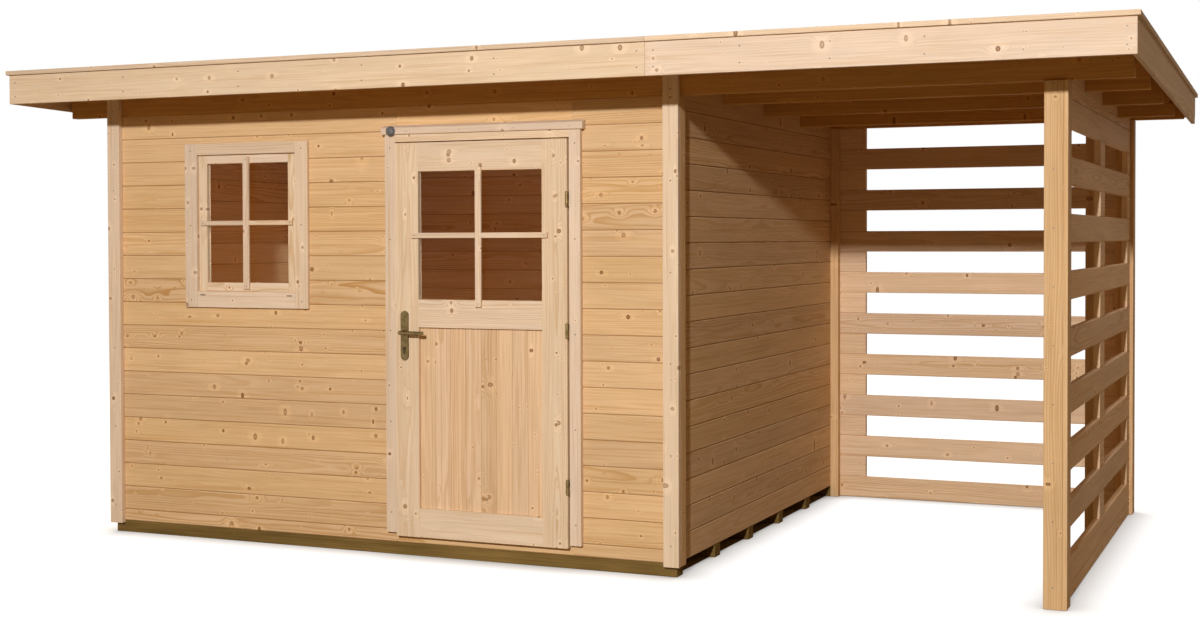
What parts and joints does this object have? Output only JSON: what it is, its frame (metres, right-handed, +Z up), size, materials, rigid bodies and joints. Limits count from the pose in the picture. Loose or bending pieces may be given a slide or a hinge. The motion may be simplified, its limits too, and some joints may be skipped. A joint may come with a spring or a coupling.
{
  "type": "garden shed with log store",
  "caption": "Timber garden shed of stacked planks with a hinged glazed door, a window and an open slatted log bay, all under one pent roof.",
  "frame": {"origin": "on the ground under the middle of the roof's outline", "axes": "+X along the front from the shed towards the log bay, +Y from the front to the back, +Z up"},
  "size_m": [5.125, 2.912, 2.2185],
  "materials": {
    "spruce": "sawn and planed, unpainted",
    "spruce_shade": "planed, unpainted",
    "treated": "pressure treated, sawn",
    "membrane": "matt sheet",
    "pane": "clear",
    "hinge_metal": "zinc plated",
    "handle_metal": "satin bronze tone",
    "buffer": "matt"
  },
  "bodies": {
    "shed": {"floor_bearers": "treated", "floor_boards": "spruce_shade", "front_wall_left": "spruce", "front_wall_right": "spruce", "front_wall_over_door": "spruce", "door_sill": "spruce", "left_wall": "spruce", "back_wall": "spruce", "right_wall": "spruce", "front_corner_boards": "spruce", "side_corner_boards": "spruce", "rear_corner_boards": "spruce", "store_front_board": "spruce", "store_side_boards": "spruce", "store_rear_board": "spruce", "store_battens": "spruce_shade", "back_slats": "spruce", "back_spacers": "spruce", "side_slats": "spruce", "side_spacers": "spruce", "purlins": "spruce_shade", "roof_deck": "spruce_shade", "roof_felt": "membrane", "front_fascia": "spruce", "side_fascias": "spruce", "rear_fascia": "spruce", "roof_strips": "spruce", "window_casing": "spruce", "window_lining": "spruce_shade", "window_sash": "spruce", "window_glass": "pane", "window_bars": "spruce", "door_frame": "spruce", "door_lining": "spruce_shade", "door_drip_strip": "spruce", "hinge_frame_halves": "hinge_metal", "door_buffer": "buffer"},
    "door": {"door_stiles": "spruce", "door_rails": "spruce", "door_panel": "spruce", "door_glass": "pane", "door_bars": "spruce", "hinge_door_halves": "hinge_metal", "handle_plates": "handle_metal", "lock_cylinders": "handle_metal"},
    "lever": {"handle_lever": "handle_metal"}
  },
  "joints": [
    {"name": "door_hinge", "type": "hinge", "parent": "shed", "child": "door", "pos_m": [0.19225, -1.112, 0.9695], "axis": [0, 0, 1], "range_deg": [0, 110]},
    {"name": "lever_turn", "type": "hinge", "parent": "door", "child": "lever", "pos_m": [-0.6055, -1.091, 1.004], "axis": [0, 1, 0], "range_deg": [0, 40], "stiffness_Nm_per_rad": 1.2}
  ]
}
